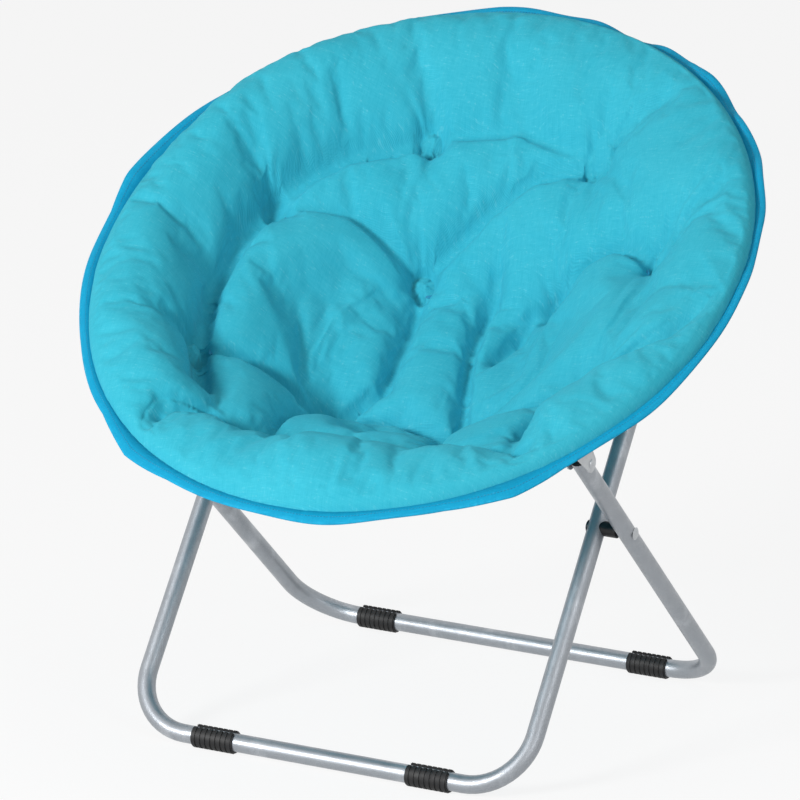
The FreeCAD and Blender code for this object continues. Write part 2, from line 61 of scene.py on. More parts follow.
def meshOf(name, bm, smooth=True):
    mesh = bpy.data.meshes.new(name)
    bm.to_mesh(mesh)
    bm.free()
    if smooth:
        mesh.shade_smooth()
    piece = bpy.data.objects.new(name, mesh)
    bpy.context.scene.collection.objects.link(piece)
    return piece


def spun(section, steps, closed):
    # a section of (r, z) points turned about the dish's axis; the mesh stays in the dish's flat frame
    bm = bmesh.new()
    verts = [bm.verts.new((r, 0, z)) for r, z in section]
    edges = [bm.edges.new(pair) for pair in zip(verts, verts[1:])]
    if closed:
        edges.append(bm.edges.new((verts[-1], verts[0])))
    bmesh.ops.spin(bm, geom=verts + edges, cent=(0, 0, 0), axis=(0, 0, 1), angle=math.tau,
                   steps=steps, use_merge=True)
    bmesh.ops.remove_doubles(bm, verts=bm.verts, dist=1e-5)
    bmesh.ops.recalc_face_normals(bm, faces=bm.faces)
    return bm


def blendAcross(piece):
    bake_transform(piece)


class Wire:
    def __init__(self, finish, socket):
        self.finish, self.socket = finish, socket

    def maths(self, operation, *others):
        values = {0: self}
        values.update({i + 1: other for i, other in enumerate(others)})
        return self.finish.node("ShaderNodeMath", {"operation": operation}, values)

    def __add__(self, other):
        return self.maths("ADD", other)

    def __mul__(self, other):
        return self.maths("MULTIPLY", other)

    def __sub__(self, other):
        return self.maths("SUBTRACT", other)

    def __truediv__(self, other):
        return self.maths("DIVIDE", other)

    __radd__ = __add__

    def sine(self):
        return self.maths("SINE")

    def size(self):
        return self.maths("ABSOLUTE")

    def least(self, other):
        return self.maths("MINIMUM", other)

    def most(self, other):
        return self.maths("MAXIMUM", other)

    def whole(self):
        return self.maths("FLOOR")

    def spread(self, low, high, toLow=0.0, toHigh=1.0):
        return self.finish.node("ShaderNodeMapRange", {"clamp": True},
                                {"Value": self, "From Min": low, "From Max": high,
                                 "To Min": toLow, "To Max": toHigh})


class Finish:
    def __init__(self, name, roughness=.5, metallic=0.0, **uniform):
        self.material = bpy.data.materials.new(name)
        self.material.use_nodes = True
        self.tree = self.material.node_tree
        self.shader = next(n for n in self.tree.nodes if n.type == "BSDF_PRINCIPLED")
        self.shader.inputs["Roughness"].default_value = roughness
        self.shader.inputs["Metallic"].default_value = metallic
        for socket, value in uniform.items():
            self.shader.inputs[socket.replace("_", " ")].default_value = value

    def node(self, kind, settings=None, sockets=None, output=0):
        made = self.tree.nodes.new(kind)
        for name, value in (settings or {}).items():
            setattr(made, name, value)
        for name, value in (sockets or {}).items():
            if isinstance(value, Wire):
                self.tree.links.new(value.socket, made.inputs[name])
            else:
                made.inputs[name].default_value = value
        return Wire(self, made.outputs[output])

    def place(self, source="Object"):
        return self.node("ShaderNodeTexCoord", output=source)

    def parts(self, vector):
        split = self.node("ShaderNodeSeparateXYZ", sockets={0: vector}).socket.node
        return [Wire(self, split.outputs[i]) for i in range(3)]

    def joined(self, x, y, z):
        return self.node("ShaderNodeCombineXYZ", sockets={0: x, 1: y, 2: z})

    def speckle(self, vector, scale, detail=2.0, roughness=.5):
        return self.node("ShaderNodeTexNoise", sockets={"Vector": vector, "Scale": scale,
                                                        "Detail": detail, "Roughness": roughness})

    def stretched(self, vector, x, y, z):
        return self.node("ShaderNodeVectorMath", {"operation": "MULTIPLY"}, {0: vector, 1: (x, y, z)})

    def tint(self, share, low, high):
        # a mix of two colours by a share
        return self.node("ShaderNodeMix", {"data_type": "RGBA"},
                         {"Factor": share, 6: colourOf(low), 7: colourOf(high)}, output=2)

    def bump(self, height, strength, distance):
        normal = self.node("ShaderNodeBump", sockets={"Strength": strength, "Distance": distance,
                                                      "Height": height})
        self.feed("Normal", normal)

    def feed(self, socket, wire):
        self.tree.links.new(wire.socket, self.shader.inputs[socket])


def colourOf(value):
    return value if isinstance(value, Wire) else (*value, 1)


def linear(red, green, blue):
    # the light that a colour written as 0 to 255 stands for
    return tuple((c / 255 / 12.92) if c <= 10 else ((c / 255 + .055) / 1.055) ** 2.4
                 for c in (red, green, blue))


canvasFinish = {
    "thread": .0013,        # spacing of the weave's threads, metres
    "light": linear(72, 196, 216),
    "deep": linear(22, 164, 190),
    "fleck": linear(120, 210, 222),
}


def wovenCloth(name, light, deep, fleck, thread, depth, roughness=.85, sheen=.25):
    finish = Finish(name, roughness=roughness, Sheen_Weight=sheen, Sheen_Roughness=.45,
                    Sheen_Tint=(*fleck, 1), Specular_IOR_Level=.2)
    across, along, _ = finish.parts(finish.place("UV"))
    turns = math.tau / 2 / thread
    warp = (across * turns).sine().size()
    weft = (along * turns).sine().size()
    # each thread has its own shade, and the yarn swells and thins along its run
    warpRun = finish.speckle(finish.joined((across / thread).whole() * 3.7, along * 60, 0), 1, 2)
    weftRun = finish.speckle(finish.joined(across * 60, (along / thread).whole() * 5.3, 9), 1, 2)
    over = finish.speckle(finish.joined(across / thread, along / thread, 3), .5, 0)
    weave = (warp * (.6 + warpRun * .8)).most(weft * (.6 + weftRun * .8))
    cloud = finish.speckle(finish.place("UV"), 7, 3)
    # the colour mixes the threads' own random tones with the weave term, which lightens each thread's crest
    # and darkens the gaps between threads: painted shade between the threads
    shade = (warpRun * .45 + weftRun * .45 + cloud * .35 + weave * .25 - .3).spread(0, 1)
    flecks = (weftRun * over).spread(.36, .55)
    colour = finish.tint(flecks * .3, finish.tint(shade, deep, light), fleck)
    finish.feed("Base Color", colour)
    finish.feed("Roughness", weave.spread(0, 1, roughness + .1, roughness - .08))
    finish.bump(weave + cloud * .2, .55, depth)
    return finish.material


def spunThread(name, light, deep):
    finish = Finish(name, roughness=.6, Sheen_Weight=.3, Sheen_Roughness=.4, Specular_IOR_Level=.25)
    spot = finish.place()
    ply = finish.speckle(spot, 1500, 2)
    finish.feed("Base Color", finish.tint((ply * .7 + finish.speckle(spot, 90, 2) * .4).spread(.3, .8),
                                          deep, light))
    finish.feed("Roughness", ply.spread(.3, .7, .5, .72))
    finish.bump(ply, .5, .0003)
    return finish.material


def powderCoat(name, base, light):
    # metallic powder paint: fine flake over a slight orange peel, rubbed brighter and smoother in places
    finish = Finish(name, roughness=.42, metallic=.72, Coat_Weight=.12, Coat_Roughness=.25)
    spot = finish.place()
    peel = finish.speckle(spot, 900, 2)
    flake = finish.node("ShaderNodeTexVoronoi", sockets={"Vector": spot, "Scale": 2600})
    flakeShade = finish.parts(finish.node("ShaderNodeTexVoronoi", sockets={"Vector": spot, "Scale": 2600},
                                          output=1))[0]
    worn = finish.speckle(finish.stretched(spot, 1, 1, .35), 26, 4, .6).spread(.56, .72)
    finish.feed("Base Color", finish.tint((flakeShade * .6 + worn * .5).spread(0, 1), base, light))
    finish.feed("Roughness", finish.speckle(spot, 60, 3).spread(.3, .7, .34, .48) - worn * .08)
    finish.feed("Metallic", flakeShade.spread(0, 1, .62, .86))
    finish.bump(peel * .7 + flake * .3, .35, .0004)
    return finish.material


def brightZinc(name):
    finish = Finish(name, roughness=.34, metallic=1.0)
    spot = finish.place()
    brushed = finish.speckle(finish.stretched(spot, 1, 1, 6), 190, 3)
    cloud = finish.speckle(spot, 45, 3)
    finish.feed("Base Color", finish.tint(cloud, linear(150, 154, 158), linear(205, 208, 210)))
    finish.feed("Roughness", (brushed * .5 + cloud * .5).spread(.3, .7, .22, .46))
    finish.bump(brushed, .2, .0003)
    return finish.material


def softBlack(name, base, light, grain, roughness):
    # moulded rubber or plastic: fine grain, greyed where it is handled
    finish = Finish(name, roughness=roughness, Specular_IOR_Level=.42)
    spot = finish.place()
    dust = finish.speckle(spot, 70, 4, .6).spread(.45, .75)
    fine = finish.speckle(spot, grain, 2)
    finish.feed("Base Color", finish.tint(dust * .7 + fine * .1, base, light))
    finish.feed("Roughness", dust.spread(0, 1, roughness - .08, roughness + .14))
    finish.bump(fine, .3, .0003)
    return finish.material


canvas = wovenCloth("turquoiseCanvas", canvasFinish["light"], canvasFinish["deep"],
                    canvasFinish["fleck"], canvasFinish["thread"], .0007)
lining = wovenCloth("seatLining", linear(96, 200, 220), linear(42, 168, 198), linear(130, 214, 230),
                    .0009, .0004, roughness=.7, sheen=.15)
tape = wovenCloth("bindingTape", linear(10, 176, 218), linear(0, 138, 184), linear(60, 196, 228),
                  .0011, .0006, roughness=.62, sheen=.3)
threadFinish = spunThread("sewingThread", linear(40, 160, 196), linear(0, 116, 158))
silver = powderCoat("silverPowderCoat", linear(138, 143, 149), linear(184, 188, 193))
zinc = brightZinc("zincPlate")
rubber = softBlack("footRubber", linear(13, 13, 14), linear(34, 34, 36), 700, .62)
plastic = softBlack("blackPlastic", linear(16, 16, 17), linear(40, 40, 42), 1400, .45)
print("materials made")

cushion = {
    "top": [(.4075, .003), (.402, .016), (.387, .028), (.365, .038), (.345, .041), (.330, .036),
            (.310, .018), (.292, -.012), (.275, -.038), (.255, -.050), (.225, -.064), (.195, -.086),
            (.165, -.114), (.150, -.130), (.137, -.143), (.115, -.146), (.080, -.140), (0, -.136)],
    "under": [(.4075, -.003), (.4068, -.008), (.4035, -.013), (.397, -.0155), (.390, -.016),
              (.378, -.0165), (.365, -.025), (.340, -.047), (.300, -.083), (.250, -.124),
              (.200, -.160), (.150, -.188), (.100, -.199), (.050, -.204), (0, -.205)],
    "crown": .041,          # height of the roll in the section above
    # the roll's own height at each angle round the seat, in degrees
    "crownAt": ((-180, .020), (-160, .022), (-135, .024), (-122, .006), (-112, .012), (-101, .018),
                (-91, .036), (-80, .032), (-70, .018), (-61, .012), (-55, .007), (-50, -.004),
                (-45, -.002), (-38, .014), (-20, .015), (-8, .010), (2, .004), (12, .008), (30, .010),
                (55, .006), (75, .008), (95, .012), (115, .022), (135, .040), (155, .044), (170, .032)),
    "rollFrom": .262, "rollTo": .404, "rollShape": 1.2,
    "calmFrom": .398, "calmOver": .03,      # creases die out here, towards the rim
    "skin": .004,           # a point this far over the middle belongs to the upper cloth
    "steps": 220,
    "voxel": .005,
    "pressure": 4.0,
    "looser": .045,         # how much longer the cloth is than the form it starts from
    "frames": 18,
    "reach": .026,          # how far a point may swell, metres
    "quality": 4, "mass": .3, "stretchStiffness": 12, "shearStiffness": 6, "bendStiffness": .35,
    "airDamping": 2,
    "tubeRoom": .0022, "hingeRoom": .0055,
}
# sewn points (x, y) in the flat frame
tufts = {
    "backLeft": (-.254, .116), "backUpperLeft": (-.105, .256), "backUpperRight": (.120, .253),
    "backRight": (.262, .112), "innerLeft": (-.075, .138), "innerRight": (.112, .120),
    "seatLeft": (-.100, -.095), "seatRight": (.085, -.105),
    "frontLeft": (-.252, -.120), "frontMidLeft": (-.105, -.255), "frontMidRight": (.112, -.250),
    "frontRight": (.250, -.112),
}
tuftShape = {
    "hollow": .034, "hollowReach": .022,    # in the form that the cloth starts from
    "heldRadius": .012,                     # cloth that is sewn down
    "pinch": .014, "pinchReach": .011,      # sharp hollow in the swollen cloth
    "pleat": .0028, "pleatReach": .02,
}
# creases run through these points: ((x, y), ...), depth, half width
creases = {
    "leftRoll": (((-.205, -.205), (-.250, -.120), (-.274, -.030), (-.273, .054), (-.254, .116)), .020, .010),
    "topLeftRoll": (((-.254, .116), (-.227, .163), (-.191, .205), (-.105, .256)), .016, .011),
    "topRoll": (((-.105, .256), (.010, .283), (.120, .253)), .008, .016),
    "backSweep": (((.120, .253), (.047, .240), (-.005, .205), (-.075, .138)), .016, .013),
    "backUp": (((.120, .253), (.157, .274), (.196, .300)), .012, .010),
    "rightUp": (((.262, .112), (.289, .133), (.320, .158)), .010, .009),
    "rightDown": (((.262, .112), (.199, .139), (.140, .129), (.112, .120)), .013, .011),
    "innerDown": (((.112, .120), (.085, .110), (.071, .040)), .012, .012),
    "middleFold": (((.022, .150), (.026, .085), (.033, .040), (.062, -.046), (.085, -.105)), .013, .011),
    "leftDown": (((-.075, .138), (-.061, .055), (-.050, -.036), (-.100, -.095)), .014, .012),
    "rightRoll": (((.400, .000), (.350, -.070), (.300, -.105), (.250, -.112)), .016, .011),
    "rightSeat": (((.250, -.112), (.215, -.185), (.225, -.245)), .014, .010),
    "leftCorner": (((-.215, -.345), (-.205, -.290), (-.165, -.260), (-.105, -.255)), .022, .007),
    "frontRoll": (((-.105, -.255), (.000, -.272), (.112, -.250)), .014, .012),
    "rightCorner": (((.272, -.300), (.250, -.265), (.200, -.250), (.112, -.250)), .024, .007),
    "seatBack": (((-.252, -.120), (-.165, -.100), (-.100, -.095)), .012, .012),
    "seatFront": (((-.100, -.095), (-.110, -.175), (-.105, -.255)), .012, .011),
    "seatMiddle": (((-.100, -.095), (-.010, -.085), (.085, -.105)), .013, .012),
    "seatSide": (((.085, -.105), (.160, -.120), (.250, -.112)), .012, .012),
    "seatFrontRight": (((.085, -.105), (.095, -.180), (.112, -.250)), .012, .011),
    "innerAcross": (((-.254, .116), (-.170, .145), (-.075, .138)), .008, .014),
}
creaseShape = {
    "fold": 1.4,                            # depth in the form that the cloth starts from, in depths
    "slit": .5, "slitReach": .0085,         # sharp slit in the swollen cloth, in depths and metres
    "heldShare": .45, "grip": .75, "fullGripDepth": .018,
    "heldEdge": .004,                       # over which the hold on the cloth dies out
    "calmFrom": .400, "calmOver": .02,
}


def smoothSection(points, spacing):
    # the rounded section through the points, evenly stepped
    line = np.array(points)
    run = np.concatenate([[0], np.cumsum(np.hypot(*np.diff(line, axis=0).T))])
    fine = np.linspace(0, run[-1], max(int(run[-1] / spacing), 2) + 1)
    even = np.column_stack([np.interp(fine, run, line[:, i]) for i in (0, 1)])
    for _ in range(6):
        even[1:-1] = even[1:-1] * .5 + (even[:-2] + even[2:]) * .25
    return [tuple(p) for p in even]


def nearLine(x, y, path):
    # distance from the points to the path
    best = np.full(len(x), 1e9)
    for (ax, ay), (bx, by) in zip(path, path[1:]):
        dx, dy = bx - ax, by - ay
        share = np.clip(((x - ax) * dx + (y - ay) * dy) / (dx * dx + dy * dy), 0, 1)
        best = np.minimum(best, np.hypot(x - ax - share * dx, y - ay - share * dy))
    return best


def aroundTable(angle, table):
    # the value at an angle, read between (degrees, value) pairs round the seat
    return np.interp(np.degrees(angle), *np.array(table).T, period=360)


def sewnIn(x, y):
    # how far the tufts and creases pull the cloth down at each point
    pull = np.zeros(len(x))
    for tx, ty in tufts.values():
        away = np.hypot(x - tx, y - ty)
        pull = np.maximum(pull, tuftShape["hollow"] * np.exp(-(away / tuftShape["hollowReach"]) ** 1.3))
    for path, depth, width in creases.values():
        away = nearLine(x, y, path)
        pull = np.maximum(pull, depth * creaseShape["fold"] * np.exp(-(away / width) ** 1.5))
    return pull


def coords(mesh):
    flat = np.zeros(len(mesh.vertices) * 3)
    mesh.vertices.foreach_get("co", flat)
    return flat.reshape(-1, 3)


def setCoords(mesh, points):
    mesh.vertices.foreach_set("co", points.astype(np.float32).ravel())
    mesh.update()


def evaluated(piece):
    # the piece's mesh with its modifiers applied
    graph = bpy.context.evaluated_depsgraph_get()
    mesh = bpy.data.meshes.new_from_object(piece.evaluated_get(graph))
    piece.modifiers.clear()
    old, piece.data = piece.data, mesh
    bpy.data.meshes.remove(old)
    return mesh


def midHeight(radius):
    # between the two faces of the padding
    top = np.array(sorted(cushion["top"]))
    under = np.array(sorted(cushion["under"]))
    return (np.interp(radius, top[:, 0], top[:, 1]) + np.interp(radius, under[:, 0], under[:, 1])) / 2


def isUpper(points):
    # true for the points of the upper cloth
    return points[:, 2] > midHeight(np.hypot(points[:, 0], points[:, 1])) + cushion["skin"]


def makeCushion():
    section = smoothSection(cushion["top"][::-1], .006)[:-1] + smoothSection(cushion["under"], .006)
    bm = spun(section, cushion["steps"], closed=False)
    piece = meshOf("seatCushion", bm)
    points = coords(piece.data)
    radius = np.hypot(points[:, 0], points[:, 1])
    onTop = points[:, 2] > midHeight(radius)
    fade = np.clip((cushion["calmFrom"] - radius) / cushion["calmOver"], 0, 1)
    crown = aroundTable(np.arctan2(points[:, 1], points[:, 0]), cushion["crownAt"]) - cushion["crown"]
    share = (radius - cushion["rollFrom"]) / (cushion["rollTo"] - cushion["rollFrom"])
    hump = np.sin(np.clip(share, 0, 1) * math.pi) ** cushion["rollShape"]
    points[:, 2] += np.where(onTop, crown * hump - sewnIn(points[:, 0], points[:, 1]) * fade, 0)
    setCoords(piece.data, points)
    remesh = piece.modifiers.new("even", "REMESH")
    remesh.mode, remesh.voxel_size = "VOXEL", cushion["voxel"]
    remesh.use_smooth_shade = True
    evaluated(piece)
    return piece


rimHeld = {"from": .394, "over": .006}


def holding(x, y, radius):
    # 1 where the cloth is sewn down, 0 where the filling may lift it
    held = np.clip((radius - rimHeld["from"]) / rimHeld["over"], 0, 1)
    for tx, ty in tufts.values():
        away = np.hypot(x - tx, y - ty)
        held = np.maximum(held, np.clip((tuftShape["heldRadius"] - away) / creaseShape["heldEdge"], 0, 1))
    for path, depth, width in creases.values():
        away = nearLine(x, y, path)
        near = np.clip((width * creaseShape["heldShare"] - away) / creaseShape["heldEdge"], 0, 1)
        held = np.maximum(held, near * min(1, depth / creaseShape["fullGripDepth"]) * creaseShape["grip"])
    return held


def topSheet(piece, onTop):
    # the upper cloth alone, with each point's number on the whole cushion
    sheet = bpy.data.objects.new("upperCloth", piece.data.copy())
    bpy.context.scene.collection.objects.link(sheet)
    home = sheet.data.attributes.new("home", "INT", "POINT")
    home.data.foreach_set("value", np.arange(len(onTop), dtype=np.int32))
    bm = bmesh.new()
    bm.from_mesh(sheet.data)
    bm.verts.ensure_lookup_table()
    low = [v for v in bm.verts if not onTop[v.index] and not any(onTop[e.other_vert(v).index]
                                                                  for e in v.link_edges)]
    bmesh.ops.delete(bm, geom=low, context="VERTS")
    bm.to_mesh(sheet.data)
    bm.free()
    numbers = np.zeros(len(sheet.data.vertices), np.int32)
    sheet.data.attributes["home"].data.foreach_get("value", numbers)
    return sheet, numbers


def swell(piece):
    # the upper cloth is held at its sewn points and rim, and blown up by the filling
    whole = coords(piece.data)
    radius = np.hypot(whole[:, 0], whole[:, 1])
    onTop = isUpper(whole)
    sheet, numbers = topSheet(piece, onTop)
    points = whole[numbers]
    held = np.maximum(holding(points[:, 0], points[:, 1], radius[numbers]), ~onTop[numbers])
    group = sheet.vertex_groups.new(name="held")
    for step in range(21):
        picked = np.nonzero(np.round(held * 20) == step)[0]
        if len(picked):
            group.add([int(i) for i in picked], step / 20, "REPLACE")
    cloth = sheet.modifiers.new("filling", "CLOTH")
    settings = cloth.settings
    settings.quality = cushion["quality"]
    settings.mass = cushion["mass"]
    settings.use_pressure = True
    settings.uniform_pressure_force = cushion["pressure"]
    settings.vertex_group_mass = "held"
    settings.pin_stiffness = 1.0
    settings.shrink_min = -cushion["looser"]
    settings.effector_weights.gravity = 0
    settings.tension_stiffness = settings.compression_stiffness = cushion["stretchStiffness"]
    settings.shear_stiffness = cushion["shearStiffness"]
    settings.bending_stiffness = cushion["bendStiffness"]
    settings.air_damping = cushion["airDamping"]
    cloth.collision_settings.use_collision = False
    cloth.point_cache.frame_start, cloth.point_cache.frame_end = 1, cushion["frames"]
    for step in range(1, cushion["frames"] + 1):
        bpy.context.scene.frame_set(step)
    moved = coords(evaluated(sheet)) - points
    bpy.context.scene.frame_set(1)
    far = np.linalg.norm(moved, axis=1)
    cap = np.minimum(1, cushion["reach"] / np.maximum(far, 1e-9))
    whole[numbers] = points + moved * cap[:, None]
    setCoords(piece.data, whole)
    bpy.data.objects.remove(sheet)
    print("cushion swelled by up to %.1f mm" % (far.max() * 1000))


def pinch(mesh):
    # sharp sewn hollows, the slits of the creases and the small pleats that run out from each tuft
    points = coords(mesh)
    normals = np.zeros(len(mesh.vertices) * 3)
    mesh.vertices.foreach_get("normal", normals)
    normals = normals.reshape(-1, 3)
    x, y = points[:, 0], points[:, 1]
    radius = np.hypot(x, y)
    pull = np.zeros(len(points))
    for index, (tx, ty) in enumerate(tufts.values()):
        away = np.hypot(x - tx, y - ty)
        turn = np.arctan2(y - ty, x - tx)
        pull = np.maximum(pull, tuftShape["pinch"] * np.exp(-(away / tuftShape["pinchReach"]) ** 1.3))
        ray = np.cos(turn * (5 + index % 3) + index * 1.7) * .6 + np.cos(turn * 11 + index) * .4
        out = away / tuftShape["pleatReach"]
        pull += tuftShape["pleat"] * ray * out * np.exp(1 - out) * .5
    slit = np.zeros(len(points))
    for path, depth, width in creases.values():
        away = nearLine(x, y, path)
        slit = np.maximum(slit, depth * creaseShape["slit"]
                          * np.exp(-(away / creaseShape["slitReach"]) ** 1.4))
    fade = np.clip((creaseShape["calmFrom"] - radius) / creaseShape["calmOver"], 0, 1) * isUpper(points)
    setCoords(mesh, points - normals * ((pull + slit) * fade)[:, None])


def clearTube(mesh, room, hingeRoom):
    # the cloth stays outside the ring tube and its hinges
    points = coords(mesh)
    radius = np.hypot(points[:, 0], points[:, 1])
    slope = points[:, 1] + dish["shear"] * points[:, 2]
    atHinge = np.exp(-((slope - dish["hingeLine"]) / .045) ** 4)
    least = dish["tubeRadius"] + room + (hingeRoom - room) * atHinge
    away = np.column_stack([radius - dish["ringRadius"], points[:, 2]])
    length = np.maximum(np.hypot(*away.T), 1e-6)
    away *= (np.maximum(length, least) / length)[:, None]
    scale = (dish["ringRadius"] + away[:, 0]) / np.maximum(radius, 1e-6)
    setCoords(mesh, np.column_stack([points[:, 0] * scale, points[:, 1] * scale, away[:, 1]]))


def relax(mesh, rounds, share):
    bm = bmesh.new()
    bm.from_mesh(mesh)
    for _ in range(rounds):
        bmesh.ops.smooth_vert(bm, verts=bm.verts, factor=share, use_axis_x=True, use_axis_y=True,
                              use_axis_z=True)
    bm.to_mesh(mesh)
    bm.free()


def layWeave(mesh):
    # the cloth's own grid: distance along the dish's section, in metres, on the piece's UV map
    line = np.array(smoothSection(cushion["top"][::-1], .01))
    run = np.concatenate([[0], np.cumsum(np.hypot(*np.diff(line, axis=0).T))])
    points = coords(mesh)
    radius = np.maximum(np.hypot(points[:, 0], points[:, 1]), 1e-6)
    scale = np.interp(radius, line[:, 0], run) / radius
    grid = points[:, :2] * scale[:, None]
    corners = np.zeros(len(mesh.loops), int)
    mesh.loops.foreach_get("vertex_index", corners)
    layer = mesh.uv_layers.new(name="weave")
    layer.data.foreach_set("uv", grid[corners].astype(np.float32).ravel())


def stand(mesh):
    # from the flat frame of the dish to its place on the chair
    turn = Matrix(((1, 0, 0, 0),
                   (0, ringUp.y, dish["shear"] * ringUp.y + ringOut.y, 0),
                   (0, ringUp.z, dish["shear"] * ringUp.z + ringOut.z, 0),
                   (0, 0, 0, 1)))
    mesh.transform(Matrix.Translation(ringCentre) @ turn)
    mesh.update()


def tuftSeats(mesh):
    # the cloth's own point under each tuft
    points = coords(mesh)
    upper = points[isUpper(points)]
    found = []
    for tx, ty in tufts.values():
        found.append(upper[np.argmin(np.hypot(upper[:, 0] - tx, upper[:, 1] - ty))])
    return found


seat = makeCushion()
print("cushion remeshed:", len(seat.data.vertices), "points")
swell(seat)
relax(seat.data, 1, .35)
finer = seat.modifiers.new("finer", "SUBSURF")
finer.levels = finer.render_levels = 1
evaluated(seat)
pinch(seat.data)
clearTube(seat.data, cushion["tubeRoom"], cushion["hingeRoom"])
layWeave(seat.data)
sewnAt = tuftSeats(seat.data)
stand(seat.data)
seat.data.shade_smooth()
seat.data.materials.clear()
seat.data.materials.append(canvas)
blendAcross(seat)
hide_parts("seat_pad_front", "seat_pad_rear")
print("seat cushion made")

tuftStitch = {"length": .0115, "radius": .0007, "strands": 4, "lift": .0012, "uneven": .0004, "lean": .16}


def strand(bm, place, along, length, radius, sides=8):
    # one rounded stitch lying at place
    turn = Vector(along).to_track_quat("X", "Z").to_matrix().to_4x4()
    shape = Matrix.Diagonal((length / 2, radius, radius, 1))
    bmesh.ops.create_uvsphere(bm, u_segments=sides, v_segments=max(4, sides * 3 // 4), radius=1,
                              matrix=Matrix.Translation(place) @ turn @ shape)


def makeTuftStitches():
    bm = bmesh.new()
    draw = random.Random(5)
    for x, y, z in sewnAt:
        across = Vector((-y, x, 0)).normalized()
        inward = Vector((-x, -y, 0)).normalized()
        for index in range(tuftStitch["strands"]):
            offset = inward * ((index - 1.5) * tuftStitch["radius"] * 1.5)
            lean = inward * draw.uniform(-tuftStitch["lean"], tuftStitch["lean"])
            height = z + tuftStitch["lift"] + draw.uniform(0, tuftStitch["uneven"])
            place = Vector((x, y, height)) + offset
            strand(bm, place, across + lean, tuftStitch["length"] * draw.uniform(.9, 1.1),
                   tuftStitch["radius"])
    piece = meshOf("tuftStitches", bm)
    stand(piece.data)
    return piece


knots = makeTuftStitches()
knots.data.materials.append(threadFinish)
blendAcross(knots)
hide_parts("seat_tacks_front", "seat_tacks_rear")
print("tufts sewn")

liningShape = {
    "gap": .0012, "wider": .0006, "thickness": .0011, "steps": 240,
    "ripple": .0012, "calmFrom": .385, "calmOver": .05,
}


def makeLining():
    section = [(r + liningShape["wider"], z - liningShape["gap"])
               for r, z in smoothSection(cushion["under"], .005)]
    bm = spun(section, liningShape["steps"], closed=False)
    piece = meshOf("seatLining", bm)
    points = coords(piece.data)
    for p in points:
        angle = math.atan2(p[1], p[0])
        r = math.hypot(p[0], p[1])
        calm = min(1, max(0, (liningShape["calmFrom"] - r) / liningShape["calmOver"]))
        p[2] -= calm * liningShape["ripple"] * (1 + noise.noise(Vector((angle * 9, r * 12, 4))))
    setCoords(piece.data, points)
    layWeave(piece.data)
    stand(piece.data)
    return piece


under = makeLining()
thick = under.modifiers.new("cloth", "SOLIDIFY")
thick.thickness, thick.offset = liningShape["thickness"], 1
evaluated(under)
under.data.shade_smooth()
under.data.materials.clear()
under.data.materials.append(lining)
blendAcross(under)
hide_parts("seat_under_panel_front", "seat_under_panel_rear")
print("lining made")

binding = {
    "section": [(.4045, -.0017), (.4120, -.0019), (.4172, -.0017), (.4187, 0), (.4172, .0017),
                (.4120, .0019), (.4045, .0017)],
    # how far the rim stands out of the even circle and along the dish's axis, by angle in degrees
    "pushed": ((-180, .003), (-171, .002), (-150, -.001), (-132, 0), (-122, .010), (-112, .002),
               (-95, .001), (-62, .001), (-51, .010), (-42, .001), (-15, -.001), (10, -.003), (30, 0),
               (45, .001), (60, .004), (70, -.002), (80, -.001), (100, .003), (125, 0), (145, .003),
               (165, .007), (173, .009)),
    "raised": ((-180, .004), (-150, 0), (-122, -.003), (-100, 0), (-50, -.003), (-20, 0), (20, 0),
               (60, .003), (70, -.002), (100, .002), (150, .004), (172, .009)),
    "steps": 540,
    "wave": .0028,
    "sewnTo": .403, "freeOver": .010,       # the tape is held inside this radius and free beyond it
    "livelyAt": 48, "livelyWidth": .55,     # where the photographed rim ripples most, degrees and radians
    "livelyLift": .004, "livelyOut": .0022,
}


def rimShift(angle):
    # how the flange leaves the even circle: outwards and along the dish's axis
    out = aroundTable(angle, binding["pushed"]) + .0007 * math.sin(13 * angle + 1.1)
    lift = aroundTable(angle, binding["raised"])
    lift += (binding["wave"] * (.5 * math.sin(5 * angle) + .35 * math.sin(11 * angle + 2)
                                + .3 * math.sin(19 * angle + .4)))
    away = math.remainder(angle - math.radians(binding["livelyAt"]), math.tau)
    lively = math.exp(-(away / binding["livelyWidth"]) ** 2)
    lift += lively * binding["livelyLift"] * math.sin(27 * angle + .8)
    out += lively * binding["livelyOut"] * math.sin(23 * angle)
    return out, lift


def wave(bm):
    # the free edge of the rim leaves the true circle
    for vert in bm.verts:
        angle = math.atan2(vert.co.y, vert.co.x)
        r = math.hypot(vert.co.x, vert.co.y)
        free = min(1, max(0, (r - binding["sewnTo"]) / binding["freeOver"]))
        out, lift = rimShift(angle)
        vert.co.x += math.cos(angle) * out * free
        vert.co.y += math.sin(angle) * out * free
        vert.co.z += lift * free


def makeBinding():
    bm = spun(binding["section"], binding["steps"], closed=True)
    wave(bm)
    piece = meshOf("rimBinding", bm)
    mesh = piece.data
    layer = mesh.uv_layers.new(name="weave")
    points = coords(mesh)
    corners = np.zeros(len(mesh.loops), int)
    mesh.loops.foreach_get("vertex_index", corners)
    angle = np.arctan2(points[:, 1], points[:, 0])[corners]
    # the seam of the map lies at the back, where a face would otherwise wrap the whole way round
    starts = np.zeros(len(mesh.polygons), int)
    mesh.polygons.foreach_get("loop_start", starts)
    first = np.repeat(starts, [p.loop_total for p in mesh.polygons])
    angle = np.where(angle - angle[first] > math.pi, angle - math.tau, angle)
    angle = np.where(angle[first] - angle > math.pi, angle + math.tau, angle)
    r = np.hypot(points[:, 0], points[:, 1])[corners]
    layer.data.foreach_set("uv", np.column_stack([angle * .41, r + points[:, 2][corners]])
                           .astype(np.float32).ravel())
    stand(mesh)
    return piece


seam = {
    "spacing": .0038, "length": .0030, "radius": .00042,
    "at": .4105, "face": .00195,            # rows on the binding: radius, and height over its middle
    "sleeve": .3700, "under": .0013,        # row under the lining
}


